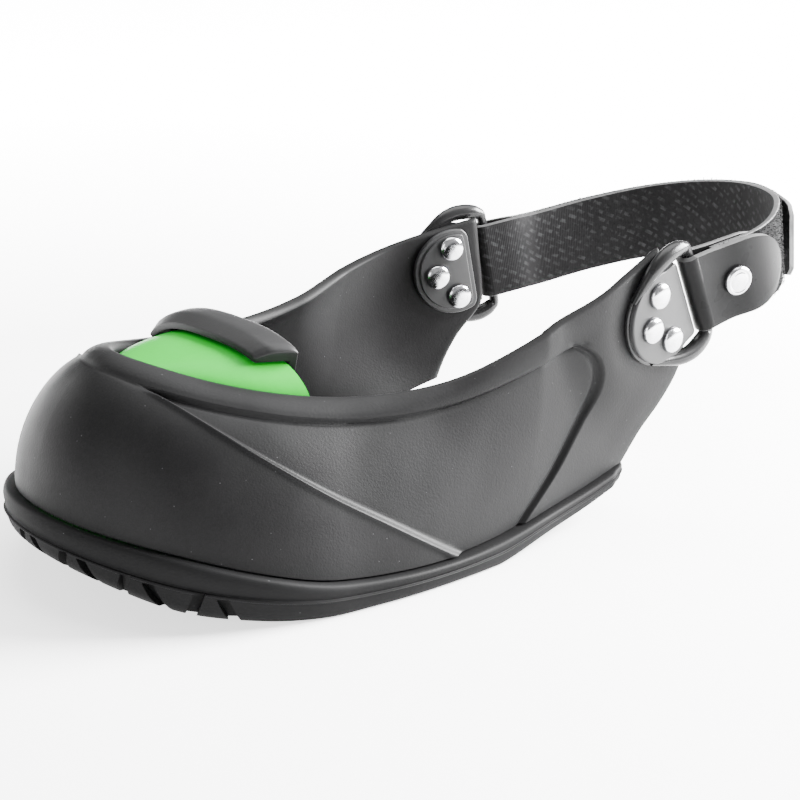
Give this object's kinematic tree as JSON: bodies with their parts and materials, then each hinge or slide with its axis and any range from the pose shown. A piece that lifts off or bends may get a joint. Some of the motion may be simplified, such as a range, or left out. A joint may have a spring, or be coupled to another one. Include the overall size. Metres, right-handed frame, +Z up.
{
  "type": "safety toe overshoe",
  "caption": "Rubber forefoot overshoe with a painted metal toe cap, open throat and heel, and a heel strap held by riveted loop plates; worn over a shoe to protect the toes.",
  "frame": {"origin": "on the floor under the flat of the forefoot tread, on the shoe's middle line", "axes": "+X to the toe, +Y to the shoe's left, +Z up"},
  "size_m": [0.2401, 0.1148, 0.0802],
  "materials": {
    "black_rubber": "satin with a fine grain",
    "sole_rubber": "matt",
    "green_paint": "gloss",
    "bumper_rubber": "satin",
    "moulded_plastic": "satin",
    "bright_steel": "polished",
    "black_leather": "smooth, half gloss",
    "strap_fabric": "looped pile outside, woven inside"
  },
  "bodies": {
    "root": {"upper": "black_rubber", "outsole": "sole_rubber", "toe_cap": "green_paint", "cap_bumper": "bumper_rubber", "loop_plate_left": "moulded_plastic", "loop_plate_right": "moulded_plastic", "backing_plate_left": "moulded_plastic", "backing_plate_right": "moulded_plastic", "rivet_left_1": "bright_steel", "rivet_left_2": "bright_steel", "rivet_left_3": "bright_steel", "rivet_right_1": "bright_steel", "rivet_right_2": "bright_steel", "rivet_right_3": "bright_steel", "strap_tab": "black_leather", "tab_rivet": "bright_steel", "strap": "strap_fabric"}
  },
  "joints": []
}
